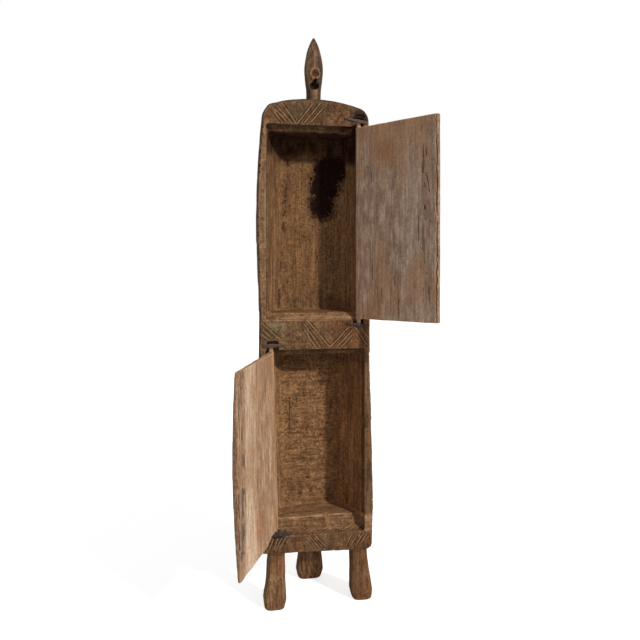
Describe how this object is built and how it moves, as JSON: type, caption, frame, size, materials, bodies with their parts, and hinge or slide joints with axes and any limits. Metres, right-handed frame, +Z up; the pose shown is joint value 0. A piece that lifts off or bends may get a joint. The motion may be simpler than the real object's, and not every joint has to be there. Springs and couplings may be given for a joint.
{
  "type": "carved wooden cabinet",
  "caption": "Tall cabinet hewn from one log, half-round in plan, on splayed legs, with a knob on its domed top, stacked compartments and plank doors on wooden pegs.",
  "frame": {"origin": "a point on the back leg's sole, on the trunk's mid-plane and the floor", "axes": "+Z up through the knob, -Y towards the viewer who faces the open doors, +X to that viewer's right"},
  "size_m": [0.3802, 0.3057, 1.16],
  "materials": {
    "trunk_wood": "hewn, dry and dusty brown wood with worn edges",
    "upper_door_wood": "grey-brown weathered plank with long cracks",
    "lower_door_wood": "light tan plank with streaked grain",
    "forged_iron": "hand-forged iron with brown rust"
  },
  "bodies": {
    "cabinet": {"body": "trunk_wood", "upper_door_top_staple": "forged_iron", "upper_door_bottom_staple": "forged_iron", "lower_door_top_staple": "forged_iron", "lower_door_bottom_staple": "forged_iron"},
    "upper_door": {"upper_door": "upper_door_wood"},
    "lower_door": {"lower_door": "lower_door_wood"}
  },
  "joints": [
    {"name": "upper_door_hinge", "type": "hinge", "parent": "cabinet", "child": "upper_door", "pos_m": [0.089, -0.116, 0.5738], "axis": [0, 0, 1], "range_deg": [-128.4, 5]},
    {"name": "lower_door_hinge", "type": "hinge", "parent": "cabinet", "child": "lower_door", "pos_m": [-0.0808, -0.116, 0.1455], "axis": [0.0255, 0, -0.9997], "range_deg": [-114.8, 5]}
  ]
}
